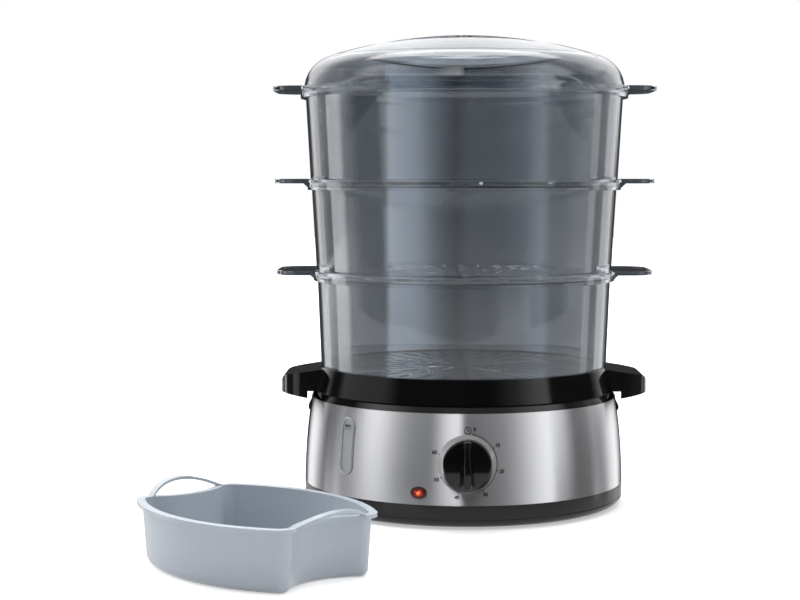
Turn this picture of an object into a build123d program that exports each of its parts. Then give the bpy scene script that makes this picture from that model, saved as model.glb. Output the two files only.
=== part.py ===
from build123d import *
import os
from math import atan2, cos, radians, sin, sqrt, tan

# Electric food steamer: a base with a water tank, heater and mechanical timer, a drip tray with
# two carrying handles, three nesting clear baskets, a domed lid and a loose rice bowl.
# Frame: +Z up, origin on the table under the middle of the base, dial side along -Y. Millimetres.

os.makedirs("parts", exist_ok=True)

# ---------------------------------------------------------------- fits
seat_gap = 0.2  # a lift-off piece rests this far above its seat
nest_clearance = 0.6  # radial play of a foot or lid inside the rim that holds it
panel_clearance = 0.15  # a lens, plate or panel in its opening
hole_clearance = 0.4  # radial room round a shaft or screw that only passes through
running_clearance = 0.05  # radial room of the timer shaft in its bearing
contact_gap = 0.05  # small parts that touch inside one assembly

# ---------------------------------------------------------------- base
foot_height = 1.5  # the rubber feet lift the base this far off the table
foot_radius = 8.0
foot_inset = 28.0  # feet inside the base plate's edge
belly_radius = 130.4  # widest radius of the base
belly_height = 13.4  # height of that widest circle above the table
barrel_radius = 480.0  # curve of the base's flank, seen from the side
wall = 2.4  # moulded wall of base and drip tray
plinth_height = 17.3
fascia_height = 69.2
shoulder_height = 5.5
shoulder_step = 3.3  # the shoulder draws in by this much up to the base's top edge
plinth_roll = 7.0  # rounded lower edge of the plinth
groove_rise = 6.6
groove_width = 1.2
groove_depth = 0.8
lug_width = 32.0  # side lugs under the carrying handles
lug_height = 16.5
lug_reach = 1.4

fascia_thickness = 0.6
fascia_bed = 0.2  # adhesive between the steel and the recess it lies in
recess_overcut = 1.0  # the recess is cut from this far outside the flank
fascia_low_angle = 88.0  # how far the steel wraps round each side at its lower edge
fascia_high_angle = 80.0  # and at its upper edge

top_ring_width = 9.3  # from the base's top edge in to the tank's mouth
tank_floor_rise = 32.5  # tank floor above the base's lower edge
tank_step_depth = 9.5  # from the top edge down to where the tank narrows
tank_step_height = 12.0
tank_flange_width = 2.5  # the tank hangs by this flange in the housing's top ring
tank_flange_thickness = 1.2

plate_margin = 10.4  # from the belly in to the edge of the base plate
plate_thickness = 2.5
plate_ledge = 3.0
plate_slots = 16
plate_slot_radius = 58.0
plate_slot_length = 26.0
plate_slot_width = 4.0
foot_socket = 1.0
screw_inset = 20.0  # base screws inside the base plate's edge
screw_radius = 2.0
screw_head_radius = 3.6
screw_length = 9.0
pillar_radius = 4.5

# ---------------------------------------------------------------- front controls
dial_rise = 31.9  # dial centre above the fascia's lower edge
bezel_radius = 21.8
bezel_lift = 0.4
bezel_lap = 3.0  # the knob covers this much of the bezel's inner edge
knob_radius = 18.9
knob_lift = 1.0
knob_body = 8.5
knob_draft = 4.0
knob_edge = 1.2
knob_wall = 2.0
hub_radius = 5.5
grip_height = 10.5
grip_low_width = 12.5
grip_high_width = 7.5
grip_crest = 0.42  # the grip's crest is this share of its root width
grip_lean = 1.0
grip_round = 0.8
shaft_radius = 3.0
shaft_flat = 2.1  # distance of the shaft's flat from its axis
shaft_engagement = 12.0  # length of the shaft inside the knob
bearing_depth = 14.0
timer_radius = 22.0
timer_depth = 24.0
timer_setback = 8.0  # timer front behind the fascia
timer_ear_span = 54.0
timer_ear_thickness = 2.0
timer_boss_radius = 3.6
timer_ear_radius = 4.5
timer_boss_length = 3.5
timer_screw_grip = 3.0
bell_radius = 17.0
bell_depth = 6.5
bell_sheet = 1.2
bell_rim_gap = 0.6
bell_post_radius = 2.5
timer_clearance = 6.0  # between the bell and the tank

lamp_azimuth = -16.2
lamp_rise = 9.2
lamp_width = 12.8
lamp_height = 9.2
lamp_lift = 1.5
lamp_depth = 5.0
lamp_wall = 1.2
lamp_holder_length = 8.0
neon_radius = 2.2

gauge_azimuth = -45.8
gauge_rise = 39.7
gauge_length = 44.6
gauge_width = 14.6
gauge_lift = 1.2
gauge_frame = 2.2
gauge_dish = 0.9
gauge_depth = 4.0
gauge_seal_thickness = 1.5

gland_rise = 6.0  # rear cord gland above the fascia's lower edge
gland_radius = 5.4
gland_flange = 2.6
gland_inside = 8.0
gland_length = 14.0
gland_taper = 6.0
gland_bore = 3.4

# ---------------------------------------------------------------- heater
heater_radius = 33.0
heater_hole_radius = 36.0
heater_flange_radius = 43.0
heater_flange_thickness = 3.0
heater_rise = 8.0  # heater face above the tank floor
heater_round = 3.0
seal_thickness = 1.5
clamp_thickness = 1.5
clamp_ear_radius = 50.0
clamp_ear = 6.0
element_radius = 27.0
element_tube_radius = 3.3
element_turn = 300.0
terminal_radius = 1.8
terminal_length = 12.0
thermostat_radius = 9.0
thermostat_height = 8.0
blade_thickness = 0.8
blade_width = 6.3
fuse_radius = 2.2
fuse_length = 13.0
block_inset = 46.0  # terminal block behind the heater, inside the base plate's edge
block_length = 36.0
block_width = 17.0
block_height = 13.0
block_well_radius = 3.0
steam_ring_radius = 50.0
steam_ring_height = 34.0
steam_ring_wall = 2.0
steam_ring_taper = 6.0
steam_notches = 4
steam_notch_width = 12.0
steam_notch_height = 6.0

# ---------------------------------------------------------------- drip tray
collar_overhang = 1.8  # collar's lower edge outside the base's top edge
tray_ledge_rise = 14.1  # ledge for the lower basket above the base's top edge
collar_lip_height = 5.2
collar_lip = 1.4
ledge_width = 8.0
tray_taper = 5.0
tray_floor_gap = 1.0
chimney_radius = 26.5
chimney_height = 13.0
handle_reach = 31.3  # carrying handle beyond the recess that takes the lower basket
handle_width = 68.0
handle_drop = 4.9
handle_skin = 2.6
handle_skirt = 14.1
handle_sink = 1.8
handle_nose = 7.0
handle_hem_offset = 9.2  # from that recess out to where the handle's skirt begins
handle_hem_fall = 4.0
handle_round = 20.0

# ---------------------------------------------------------------- baskets
basket_inset = 4.6  # lower basket's foot inside the base's top edge
basket_names = ("lower", "middle", "upper")
basket_heights = (76.8, 73.2, 73.8)  # foot to ledge
basket_drafts = (2.2, 3.1, 3.1)  # degrees
nest_step = 0.6  # each next foot is this much wider than the wall below it
clear_wall = 2.2
foot_round = 1.2
foot_lip = 6.0
rim_height = 6.0
flange_width = 3.2
flange_thickness = 2.2
tab_reaches = (25.2, 21.8, 17.5)  # side tabs beyond the rim flange
tab_width = 82.0
tab_round = 19.0
tab_bead = 2.6
tab_bead_lift = 0.7
rib_offset = 26.0
rib_thickness = 2.2
rib_reach = 6.4
floor_thickness = 2.0
floor_ring_shares = ((0.18, 0.37), (0.43, 0.65), (0.71, 0.95))  # slots' ends, as shares of the opening
floor_ring_slots = (12, 24, 36)
slot_width = 4.4

# ---------------------------------------------------------------- lid
lid_step = 1.4  # lid is this much wider than the upper basket's wall
lid_height = 48.4
lid_wall = 2.0
dome_rise = 24.4  # crown of the dome above its edge
lid_shoulder = 28.0
ridge_half_width = 10.0
scoop_depth = 23.0
scoop_round = 110.0
scoop_length_radius = 300.0
vent_radius = 6.0
vent_depth = 1.4
vent_hole_radius = 1.6

# ---------------------------------------------------------------- rice bowl
bowl_center = (-147.8, -254.0)
bowl_turn = -45.2
bowl_half_length = 81.0
bowl_half_width = 35.6
bowl_bulge = 27.5
bowl_dent = 16.0
bowl_height = 43.2
bowl_corner = 9.0
bowl_wall = 2.0
bowl_draft = 3.0
bowl_round = 5.0
bowl_flange = 3.8
bowl_rim = 2.6
strap_width = 6.0
strap_bulge = 11.0  # the strap handles bow out beyond the bowl's corners
strap_arch = 9.0  # and rise above its rim
strap_root = 0.3  # their ends start this far inside the rim's faces

# ---------------------------------------------------------------- levels
base_bottom = foot_height
plinth_top = base_bottom + plinth_height
fascia_top = plinth_top + fascia_height
base_top = fascia_top + shoulder_height
tank_floor = base_bottom + tank_floor_rise
tank_step_high = base_top - tank_step_depth
tank_step_low = tank_step_high - tank_step_height
tray_bottom = base_top + seat_gap
tray_ledge = base_top + tray_ledge_rise
collar_top = tray_ledge + collar_lip_height
tray_floor_bottom = tank_step_high + tray_floor_gap
plate_top = base_bottom + plate_thickness


def barrel(height, inset=0.0):
    """Radius of the base's flank at a height above the table, less an inset."""
    lift = height - belly_height
    return belly_radius - barrel_radius + sqrt(barrel_radius**2 - lift**2) - inset


def barrel_arc(low, high, inset=0.0):
    """The flank's curve between two heights, drawn in the section plane."""
    middle = (low + high) / 2
    ThreePointArc((barrel(low, inset), low), (barrel(middle, inset), middle), (barrel(high, inset), high))


def flank_plane(azimuth, height):
    """Plane touching the flank; azimuth in degrees from the front, positive to the right."""
    turn = radians(azimuth)
    lift = height - belly_height
    lean = atan2(lift, sqrt(barrel_radius**2 - lift**2))
    radius = barrel(height)
    return Plane(
        origin=(radius * sin(turn), -radius * cos(turn), height),
        x_dir=(cos(turn), sin(turn), 0),
        z_dir=(sin(turn) * cos(lean), -cos(turn) * cos(lean), sin(lean)),
    )


def save(part, name):
    """Label a finished piece and write its STEP file."""
    part.label = name
    export_step(part, f"parts/{name}.step")


shoulder_radius = barrel(fascia_top) - shoulder_step
tank_rim_radius = shoulder_radius - top_ring_width
timer_room = timer_setback + timer_depth + bell_depth + timer_clearance
tank_radius = barrel(plinth_top + dial_rise) - timer_room - wall
plate_radius = belly_radius - plate_margin
foot_ring_radius = plate_radius - foot_inset
screw_ring_radius = plate_radius - screw_inset
block_place = plate_radius - block_inset
basket_foot_radius = shoulder_radius - basket_inset
dial_plane = flank_plane(0, plinth_top + dial_rise)
lamp_plane = flank_plane(lamp_azimuth, plinth_top + lamp_rise)
gauge_plane = flank_plane(gauge_azimuth, plinth_top + gauge_rise)
gland_plane = flank_plane(180, plinth_top + gland_rise)


def fascia_band(inset, thickness, margin):
    """Band of the flank in front, with slanted ends; margin widens its outline."""
    low = plinth_top - margin
    high = fascia_top + margin
    half_low = barrel(plinth_top) * sin(radians(fascia_low_angle)) + margin
    half_high = barrel(fascia_top) * sin(radians(fascia_high_angle)) + margin
    with BuildPart() as band:
        with BuildSketch(Plane.XZ):
            with BuildLine():
                barrel_arc(low, high, inset)
                barrel_arc(low, high, inset + thickness)
                Line((barrel(low, inset), low), (barrel(low, inset + thickness), low))
                Line((barrel(high, inset), high), (barrel(high, inset + thickness), high))
            make_face()
        revolve(axis=Axis.Z)
        with BuildSketch(Plane.XZ):
            Polygon((-half_low, low), (half_low, low), (half_high, high), (-half_high, high), align=None)
        extrude(amount=2 * belly_radius, mode=Mode.INTERSECT)
    return band.part


# ================================================================ base housing
with BuildPart() as flank_solid:
    with BuildSketch(Plane.XZ) as flank_section:
        with BuildLine():
            barrel_arc(base_bottom, fascia_top)
            Polyline(
                (barrel(fascia_top), fascia_top),
                (shoulder_radius, base_top),
                (0, base_top),
                (0, base_bottom),
                (barrel(base_bottom), base_bottom),
            )
        make_face()
        fillet(flank_section.vertices().group_by(Axis.Y)[0].sort_by(Axis.X)[-1], plinth_roll)
    revolve(axis=Axis.Z)

lug_low = base_top - lug_height
with BuildPart() as side_lugs:
    with BuildSketch(Plane.XZ):
        Polygon(
            (shoulder_radius - wall, base_top - wall / 2),
            (shoulder_radius, base_top - wall / 2),
            (barrel(lug_low) + lug_reach, lug_low + wall),
            (barrel(lug_low) + lug_reach, lug_low),
            (barrel(lug_low) - wall / 2, lug_low - wall / 2),
            align=None,
        )
    revolve(axis=Axis.Z)
    Box(4 * belly_radius, lug_width, 4 * base_top, mode=Mode.INTERSECT)

ledge_level = plate_top + contact_gap
skirt_low = ledge_level + wall
skirt_inset = wall + fascia_thickness
tank_outer = tank_rim_radius + wall
tank_flange_radius = tank_outer + tank_flange_width
flange_seat = base_top - tank_flange_thickness
clamp_level = tank_floor - wall - seal_thickness - heater_flange_thickness
duct_depth = gauge_depth + gauge_seal_thickness
pillar_spots = PolarLocations(screw_ring_radius, 4, start_angle=30)
clamp_spots = PolarLocations(clamp_ear_radius, 3, start_angle=30)
timer_spots = GridLocations(timer_ear_span, 1, 2, 1)
foot_spots = PolarLocations(foot_ring_radius, 4, start_angle=75)

with BuildPart() as base_housing:
    add(flank_solid.part)
    add(side_lugs.part)
    # open inside, with a rebate above for the tank's flange and a ledge below for the base plate
    with BuildSketch(Plane.XZ):
        with BuildLine():
            barrel_arc(skirt_low, fascia_top, skirt_inset)
            Polyline(
                (barrel(fascia_top, skirt_inset), fascia_top),
                (shoulder_radius - wall, base_top - wall),
                (tank_outer + contact_gap, base_top - wall),
                (tank_outer + contact_gap, flange_seat),
                (tank_flange_radius + contact_gap, flange_seat),
                (tank_flange_radius + contact_gap, base_top + wall),
                (0, base_top + wall),
                (0, base_bottom - wall),
                (plate_radius, base_bottom - wall),
                (plate_radius, ledge_level),
                (plate_radius - plate_ledge, ledge_level),
                (plate_radius - plate_ledge, skirt_low),
                (barrel(skirt_low, skirt_inset), skirt_low),
            )
        make_face()
    revolve(axis=Axis.Z, mode=Mode.SUBTRACT)
    # bosses for the timer, with blind holes for its screws
    with BuildSketch(dial_plane.offset(-timer_setback)):
        with timer_spots:
            Circle(timer_boss_radius)
    extrude(amount=timer_boss_length)
    with BuildSketch(dial_plane.offset(-timer_setback)):
        with timer_spots:
            Circle(screw_radius)
    extrude(amount=timer_screw_grip + contact_gap, mode=Mode.SUBTRACT)
    # openings in the flank for the gauge, the dial shaft, the lamp and the cord
    with BuildSketch(gauge_plane.offset(-duct_depth)):
        SlotOverall(gauge_length + 2 * panel_clearance, gauge_width + 2 * panel_clearance, rotation=90)
    extrude(amount=duct_depth + wall, mode=Mode.SUBTRACT)
    with BuildSketch(dial_plane.offset(wall)):
        Circle(shaft_radius + hole_clearance)
    extrude(amount=-3 * wall, mode=Mode.SUBTRACT)
    with BuildSketch(lamp_plane.offset(wall)):
        Ellipse(lamp_width / 2 + panel_clearance, lamp_height / 2 + panel_clearance)
    extrude(amount=-3 * wall, mode=Mode.SUBTRACT)
    with BuildSketch(gland_plane.offset(wall)):
        Circle(gland_radius + panel_clearance)
    extrude(amount=-3 * wall, mode=Mode.SUBTRACT)
    # groove round the plinth and the recess for the steel
    with BuildSketch(Plane.XZ):
        with Locations((barrel(base_bottom + groove_rise), base_bottom + groove_rise)):
            Rectangle(2 * groove_depth, groove_width)
    revolve(axis=Axis.Z, mode=Mode.SUBTRACT)
    recess_depth = recess_overcut + fascia_thickness + fascia_bed
    add(fascia_band(-recess_overcut, recess_depth, panel_clearance), mode=Mode.SUBTRACT)
save(base_housing.part, "base_housing")

# ================================================================ water tank
with BuildPart() as water_tank:
    with BuildSketch(Plane.XZ):
        Polygon(
            (0, tank_floor - wall),
            (tank_radius + wall, tank_floor - wall),
            (tank_radius + wall, tank_step_low - wall / 2),
            (tank_outer, tank_step_high - wall / 2),
            (tank_outer, flange_seat),
            (tank_flange_radius, flange_seat),
            (tank_flange_radius, base_top),
            (0, base_top),
            align=None,
        )
    revolve(axis=Axis.Z)
    # duct that leads the water to the gauge
    with BuildSketch(gauge_plane.offset(-duct_depth)):
        SlotOverall(gauge_length, gauge_width, rotation=90)
    extrude(amount=-(belly_radius - tank_radius - duct_depth))
    # pillars for the base screws and bosses for the heater clamp
    with BuildSketch(Plane.XY.offset(ledge_level)):
        with pillar_spots:
            Circle(pillar_radius)
    extrude(amount=tank_step_high - ledge_level)
    with BuildSketch(Plane.XY.offset(clamp_level)):
        with clamp_spots:
            Circle(pillar_radius)
    extrude(amount=tank_floor - wall / 2 - clamp_level)
    # inside of the tank, its heater hole and the bore of the gauge duct
    with BuildSketch(Plane.XZ):
        Polygon(
            (0, tank_floor),
            (tank_radius, tank_floor),
            (tank_radius, tank_step_low),
            (tank_rim_radius, tank_step_high),
            (tank_rim_radius, base_top),
            (0, base_top),
            align=None,
        )
    revolve(axis=Axis.Z, mode=Mode.SUBTRACT)
    with BuildSketch(Plane.XY.offset(tank_floor)):
        Circle(heater_hole_radius)
    extrude(amount=-2 * wall, mode=Mode.SUBTRACT)
    with BuildSketch(gauge_plane.offset(-duct_depth)):
        SlotOverall(gauge_length - 2 * gauge_frame, gauge_width - 2 * gauge_frame, rotation=90)
    extrude(amount=-(belly_radius - tank_radius), mode=Mode.SUBTRACT)
    # blind holes for the screws
    with BuildSketch(Plane.XY.offset(ledge_level)):
        with pillar_spots:
            Circle(screw_radius)
    extrude(amount=screw_length, mode=Mode.SUBTRACT)
    with BuildSketch(Plane.XY.offset(clamp_level)):
        with clamp_spots:
            Circle(screw_radius)
    extrude(amount=seal_thickness + heater_flange_thickness, mode=Mode.SUBTRACT)
save(water_tank.part, "water_tank")

# ================================================================ steel fascia
with BuildPart() as steel_fascia:
    add(fascia_band(0, fascia_thickness, 0))
    with BuildSketch(gauge_plane.offset(wall)):
        SlotOverall(gauge_length + 2 * panel_clearance, gauge_width + 2 * panel_clearance, rotation=90)
    extrude(amount=-2 * wall, mode=Mode.SUBTRACT)
    with BuildSketch(dial_plane.offset(wall)):
        Circle(shaft_radius + hole_clearance)
    extrude(amount=-2 * wall, mode=Mode.SUBTRACT)
    with BuildSketch(lamp_plane.offset(wall)):
        Ellipse(lamp_width / 2 + panel_clearance, lamp_height / 2 + panel_clearance)
    extrude(amount=-2 * wall, mode=Mode.SUBTRACT)
save(steel_fascia.part, "steel_fascia")

# ================================================================ underside
with BuildPart() as base_plate:
    with BuildSketch(Plane.XY.offset(base_bottom)):
        Circle(plate_radius - panel_clearance)
    extrude(amount=plate_thickness)
    # cooling slots under the heater
    with BuildSketch(Plane.XY.offset(base_bottom)):
        with PolarLocations(plate_slot_radius, plate_slots):
            Rectangle(plate_slot_length, plate_slot_width)
    extrude(amount=plate_thickness, mode=Mode.SUBTRACT)
    # recessed cups for the screw heads, sockets for the feet
    with BuildSketch(Plane.XY.offset(base_bottom)):
        with pillar_spots:
            Circle(screw_head_radius + hole_clearance)
    extrude(amount=plate_thickness / 2, mode=Mode.SUBTRACT)
    with BuildSketch(Plane.XY.offset(base_bottom)):
        with pillar_spots:
            Circle(screw_radius + hole_clearance)
    extrude(amount=plate_thickness, mode=Mode.SUBTRACT)
    with BuildSketch(Plane.XY.offset(base_bottom)):
        with foot_spots:
            Circle(foot_radius + contact_gap)
    extrude(amount=foot_socket, mode=Mode.SUBTRACT)
save(base_plate.part, "base_plate")

with BuildPart() as rubber_feet:
    with BuildSketch(Plane.XY):
        with foot_spots:
            Circle(foot_radius)
    extrude(amount=foot_height + foot_socket)
    chamfer(rubber_feet.edges().group_by(Axis.Z)[0], foot_height / 3)
save(rubber_feet.part, "rubber_feet")

with BuildPart() as base_screws:
    head_top = base_bottom + plate_thickness / 2
    with BuildSketch(Plane.XY.offset(head_top)):
        with pillar_spots:
            Circle(screw_head_radius)
    extrude(amount=-plate_thickness / 2 + contact_gap)
    with BuildSketch(Plane.XY.offset(head_top)):
        with pillar_spots:
            Circle(screw_radius - contact_gap)
    extrude(amount=screw_length)
save(base_screws.part, "base_screws")

# ================================================================ water gauge
with BuildPart() as gauge_window:
    with BuildSketch(gauge_plane.offset(-gauge_depth)):
        SlotOverall(gauge_length, gauge_width, rotation=90)
    extrude(amount=gauge_depth + gauge_lift)
    outward = Axis(gauge_plane.origin, gauge_plane.z_dir)
    chamfer(gauge_window.faces().filter_by(outward).sort_by(outward)[-1].edges(), 0.6 * gauge_lift)
    with BuildSketch(gauge_plane.offset(gauge_lift)):
        SlotOverall(gauge_length - 2 * gauge_frame, gauge_width - 2 * gauge_frame, rotation=90)
    extrude(amount=-gauge_dish, mode=Mode.SUBTRACT)
save(gauge_window.part, "gauge_window")

with BuildPart() as gauge_seal:
    with BuildSketch(gauge_plane.offset(-gauge_depth)):
        SlotOverall(gauge_length, gauge_width, rotation=90)
        SlotOverall(
            gauge_length - 2 * gauge_frame,
            gauge_width - 2 * gauge_frame,
            rotation=90,
            mode=Mode.SUBTRACT,
        )
    extrude(amount=-gauge_seal_thickness)
save(gauge_seal.part, "gauge_seal")

# ================================================================ indicator lamp
with BuildPart() as indicator_lens:
    with BuildSketch(lamp_plane.offset(-lamp_depth)):
        Ellipse(lamp_width / 2, lamp_height / 2)
    extrude(amount=lamp_depth + lamp_lift)
    outward = Axis(lamp_plane.origin, lamp_plane.z_dir)
    fillet(indicator_lens.faces().filter_by(outward).sort_by(outward)[-1].edges(), 0.8 * lamp_lift)
    with BuildSketch(lamp_plane.offset(-lamp_depth)):
        Ellipse(lamp_width / 2 - lamp_wall, lamp_height / 2 - lamp_wall)
    extrude(amount=lamp_depth, mode=Mode.SUBTRACT)
save(indicator_lens.part, "indicator_lens")

holder_rear = lamp_depth + lamp_holder_length / 2
with BuildPart() as lamp_holder:
    with BuildSketch(lamp_plane.offset(-holder_rear)):
        Ellipse(lamp_width / 2 - lamp_wall - contact_gap, lamp_height / 2 - lamp_wall - contact_gap)
        Circle(neon_radius + contact_gap, mode=Mode.SUBTRACT)
    extrude(amount=lamp_holder_length)
save(lamp_holder.part, "lamp_holder")

with BuildPart() as neon_lamp:
    with BuildSketch(lamp_plane.offset(-holder_rear)):
        Circle(neon_radius)
    extrude(amount=holder_rear - neon_radius / 2)
    fillet(neon_lamp.faces().filter_by(outward).sort_by(outward)[-1].edges(), 0.8 * neon_radius)
save(neon_lamp.part, "neon_lamp")

# ================================================================ dial and timer
with BuildPart() as dial_bezel:
    with BuildSketch(dial_plane.offset(bezel_lift)):
        Circle(bezel_radius)
        Circle(knob_radius - bezel_lap, mode=Mode.SUBTRACT)
    extrude(amount=-timer_setback)
    add(flank_solid.part, mode=Mode.SUBTRACT)
save(dial_bezel.part, "dial_bezel")

grip_root = knob_lift + knob_body - knob_edge
grip_top = knob_lift + knob_body + grip_height
with BuildPart() as grip_bar:
    with BuildSketch(dial_plane.offset(grip_root)):
        Polygon(
            (-grip_low_width / 2, -knob_radius),
            (grip_low_width / 2, -knob_radius),
            (grip_high_width / 2, knob_radius),
            (-grip_high_width / 2, knob_radius),
            align=None,
        )
    with BuildSketch(dial_plane.offset(grip_top)):
        Polygon(
            (-grip_crest * grip_low_width / 2, grip_lean - knob_radius),
            (grip_crest * grip_low_width / 2, grip_lean - knob_radius),
            (grip_crest * grip_high_width / 2, knob_radius - grip_lean),
            (-grip_crest * grip_high_width / 2, knob_radius - grip_lean),
            align=None,
        )
    loft()
    fillet(grip_bar.faces().sort_by(Axis(dial_plane.origin, dial_plane.z_dir))[-1].edges(), grip_round)
    with BuildSketch(dial_plane.offset(grip_root)):
        Circle(knob_radius - knob_edge)
    extrude(amount=2 * grip_height, mode=Mode.INTERSECT)

with BuildPart() as timer_knob:
    with BuildSketch(dial_plane.offset(knob_lift)):
        Circle(knob_radius)
    extrude(amount=knob_body, taper=knob_draft)
    knob_axis = Axis(dial_plane.origin, dial_plane.z_dir)
    fillet(timer_knob.faces().sort_by(knob_axis)[-1].edges(), knob_edge)
    add(grip_bar.part)
    # hollow back round the hub, then the flatted bore
    with BuildSketch(dial_plane.offset(knob_lift)):
        Circle(knob_radius - knob_wall)
        Circle(hub_radius, mode=Mode.SUBTRACT)
    extrude(amount=knob_body - knob_wall, mode=Mode.SUBTRACT)
    with BuildSketch(dial_plane.offset(knob_lift)):
        Circle(shaft_radius + contact_gap)
        with Locations((0, shaft_flat + contact_gap + shaft_radius)):
            Rectangle(4 * shaft_radius, 2 * shaft_radius, mode=Mode.SUBTRACT)
    extrude(amount=shaft_engagement + contact_gap, mode=Mode.SUBTRACT)
save(timer_knob.part, "timer_knob")

with BuildPart() as timer_shaft:
    with BuildSketch(dial_plane.offset(-timer_setback - bearing_depth)):
        Circle(shaft_radius)
    extrude(amount=timer_setback + bearing_depth + knob_lift)
    with BuildSketch(dial_plane.offset(knob_lift)):
        Circle(shaft_radius)
        with Locations((0, shaft_flat + shaft_radius)):
            Rectangle(4 * shaft_radius, 2 * shaft_radius, mode=Mode.SUBTRACT)
    extrude(amount=shaft_engagement)
save(timer_shaft.part, "timer_shaft")

timer_rear = timer_setback + timer_depth
with BuildPart() as timer_body:
    with BuildSketch(dial_plane.offset(-timer_setback)):
        Circle(timer_radius)
    extrude(amount=-timer_depth)
    fillet(timer_body.faces().sort_by(knob_axis)[0].edges(), wall)
    with BuildSketch(dial_plane.offset(-timer_setback)):
        SlotOverall(timer_ear_span + 2 * timer_ear_radius, 2 * timer_ear_radius)
    extrude(amount=-timer_ear_thickness)
    with BuildSketch(dial_plane.offset(-timer_setback)):
        with timer_spots:
            Circle(screw_radius + hole_clearance)
    extrude(amount=-timer_ear_thickness, mode=Mode.SUBTRACT)
    with BuildSketch(dial_plane.offset(-timer_setback)):
        Circle(shaft_radius + running_clearance)
    extrude(amount=-bearing_depth - contact_gap, mode=Mode.SUBTRACT)
    with BuildSketch(dial_plane.offset(-timer_rear)):
        Circle(bell_post_radius)
    extrude(amount=-bell_depth + bell_sheet)
save(timer_body.part, "timer_body")

with BuildPart() as timer_bell:
    with BuildSketch(dial_plane.offset(-timer_rear - bell_depth)):
        Circle(bell_radius)
    extrude(amount=bell_depth - bell_rim_gap)
    fillet(timer_bell.faces().sort_by(knob_axis)[0].edges(), bell_depth / 2)
    with BuildSketch(dial_plane.offset(-timer_rear - bell_depth + bell_sheet)):
        Circle(bell_radius - bell_sheet)
    extrude(amount=bell_depth, mode=Mode.SUBTRACT)
save(timer_bell.part, "timer_bell")

with BuildPart() as timer_screws:
    with BuildSketch(dial_plane.offset(-timer_setback - timer_ear_thickness)):
        with timer_spots:
            Circle(screw_head_radius)
    extrude(amount=-screw_radius)
    with BuildSketch(dial_plane.offset(-timer_setback - timer_ear_thickness)):
        with timer_spots:
            Circle(screw_radius - contact_gap)
    extrude(amount=timer_ear_thickness + timer_screw_grip)
save(timer_screws.part, "timer_screws")

# ================================================================ heater
heater_face = tank_floor + heater_rise
flange_top = clamp_level + heater_flange_thickness
with BuildPart() as heater_plate:
    with BuildSketch(Plane.XZ) as heater_section:
        Polygon(
            (0, clamp_level),
            (heater_flange_radius, clamp_level),
            (heater_flange_radius, flange_top),
            (heater_radius, flange_top),
            (heater_radius, heater_face),
            (0, heater_face),
            align=None,
        )
        fillet(heater_section.vertices().group_by(Axis.Y)[-1].sort_by(Axis.X)[-1], heater_round)
    revolve(axis=Axis.Z)
save(heater_plate.part, "heater_plate")

with BuildPart() as heater_seal:
    with BuildSketch(Plane.XZ):
        Polygon(
            (heater_radius + contact_gap, flange_top),
            (heater_flange_radius, flange_top),
            (heater_flange_radius, flange_top + seal_thickness),
            (heater_hole_radius - contact_gap, flange_top + seal_thickness),
            (heater_hole_radius - contact_gap, tank_floor + seal_thickness),
            (heater_radius + contact_gap, tank_floor + seal_thickness),
            align=None,
        )
    revolve(axis=Axis.Z)
save(heater_seal.part, "heater_seal")

with BuildPart() as heater_clamp:
    with BuildSketch(Plane.XY.offset(clamp_level - clamp_thickness)):
        Circle(heater_flange_radius + clamp_thickness)
        with clamp_spots:
            Circle(clamp_ear)
        Circle(element_radius + 2 * element_tube_radius, mode=Mode.SUBTRACT)
        with clamp_spots:
            Circle(screw_radius + hole_clearance, mode=Mode.SUBTRACT)
    extrude(amount=clamp_thickness)
save(heater_clamp.part, "heater_clamp")

with BuildPart() as heater_screws:
    with BuildSketch(Plane.XY.offset(clamp_level - clamp_thickness)):
        with clamp_spots:
            Circle(screw_head_radius)
    extrude(amount=-screw_radius)
    with BuildSketch(Plane.XY.offset(clamp_level - clamp_thickness)):
        with clamp_spots:
            Circle(screw_radius - contact_gap)
    extrude(amount=clamp_thickness + seal_thickness + heater_flange_thickness - contact_gap)
save(heater_screws.part, "heater_screws")

element_level = clamp_level - element_tube_radius
with BuildPart() as heater_element:
    with BuildSketch(Plane.XZ):
        with Locations((element_radius, element_level)):
            Circle(element_tube_radius)
    revolve(axis=Axis.Z, revolution_arc=element_turn)
    # cold ends that point down to the terminals
    with BuildSketch(Plane.XY.offset(element_level)):
        with PolarLocations(element_radius, 2, angular_range=element_turn, endpoint=True):
            Circle(terminal_radius)
    extrude(amount=-terminal_length)
save(heater_element.part, "heater_element")

with BuildPart() as thermostat:
    with BuildSketch(Plane.XY.offset(clamp_level)):
        Circle(thermostat_radius)
    extrude(amount=-thermostat_height)
    with BuildSketch(Plane.XY.offset(clamp_level - thermostat_height)):
        with GridLocations(thermostat_radius, 1, 2, 1):
            Rectangle(blade_thickness, blade_width)
    extrude(amount=-thermostat_height)
save(thermostat.part, "thermostat")

with BuildPart() as thermal_fuse:
    with BuildSketch(Plane.YZ.offset(-fuse_length / 2)):
        with Locations((thermostat_radius + 2 * fuse_radius, clamp_level - fuse_radius)):
            Circle(fuse_radius)
    extrude(amount=fuse_length)
save(thermal_fuse.part, "thermal_fuse")

with BuildPart() as terminal_block:
    with BuildSketch(Plane.XY.offset(plate_top)):
        with Locations((0, block_place)):
            Rectangle(block_length, block_width)
    extrude(amount=block_height)
    with BuildSketch(Plane.XY.offset(plate_top + block_height)):
        with Locations((0, block_place)):
            with GridLocations(block_length / 3, 1, 3, 1):
                Circle(block_well_radius)
    extrude(amount=-block_height / 2, mode=Mode.SUBTRACT)
save(terminal_block.part, "terminal_block")

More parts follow.
